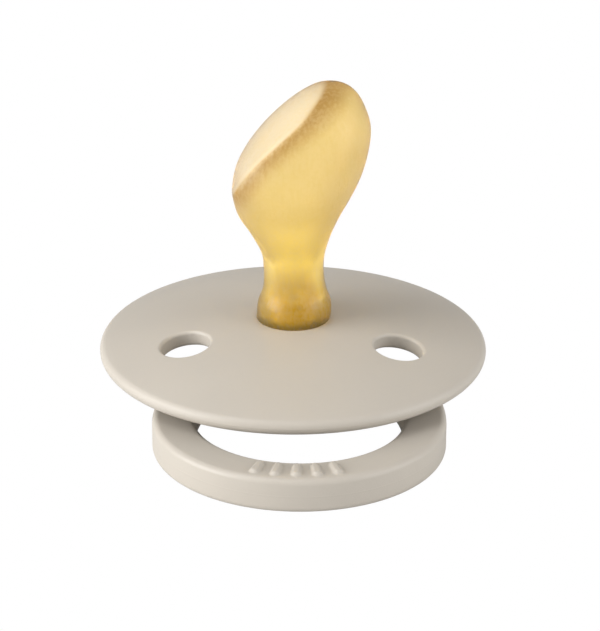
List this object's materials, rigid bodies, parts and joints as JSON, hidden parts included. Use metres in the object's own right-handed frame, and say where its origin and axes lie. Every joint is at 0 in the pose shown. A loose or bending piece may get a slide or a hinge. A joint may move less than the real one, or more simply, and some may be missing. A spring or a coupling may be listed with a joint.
{
  "type": "pacifier",
  "caption": "Baby's pacifier: a domed round shield with vent holes, a hollow slanted rubber teat and a ring handle that swings on the rear knob.",
  "frame": {"origin": "centre of the rear knob's flat face, on the shield's axis; the object stands on that face", "axes": "+Z along the shield's axis towards the teat's tip, -Y towards the ring handle as it lies at rest, +X to the right seen from the ring's side"},
  "size_m": [0.043, 0.0501, 0.0376],
  "materials": {
    "shield_plastic": "satin moulded polypropylene, warm sand grey",
    "teat_rubber": "translucent amber natural rubber latex, semi-matte",
    "plug_plastic": "satin moulded polypropylene, warm sand grey",
    "knob_plastic": "satin moulded polypropylene, warm sand grey",
    "ring_plastic": "satin moulded polypropylene, warm sand grey"
  },
  "bodies": {
    "shield_body": {"shield": "shield_plastic", "plug": "plug_plastic", "knob_cap": "knob_plastic"},
    "ring": {"ring_handle": "ring_plastic"},
    "teat": {"teat": "teat_rubber"}
  },
  "joints": [
    {"name": "ring_swing", "type": "hinge", "parent": "shield_body", "child": "ring", "pos_m": [0, 0, 0.00235], "axis": [1, 0, 0], "range_deg": [-4, 182]},
    {"name": "teat_turn", "type": "hinge", "parent": "shield_body", "child": "teat", "pos_m": [0, 0, 0.00685], "axis": [0, 0, 1], "continuous": true}
  ]
}
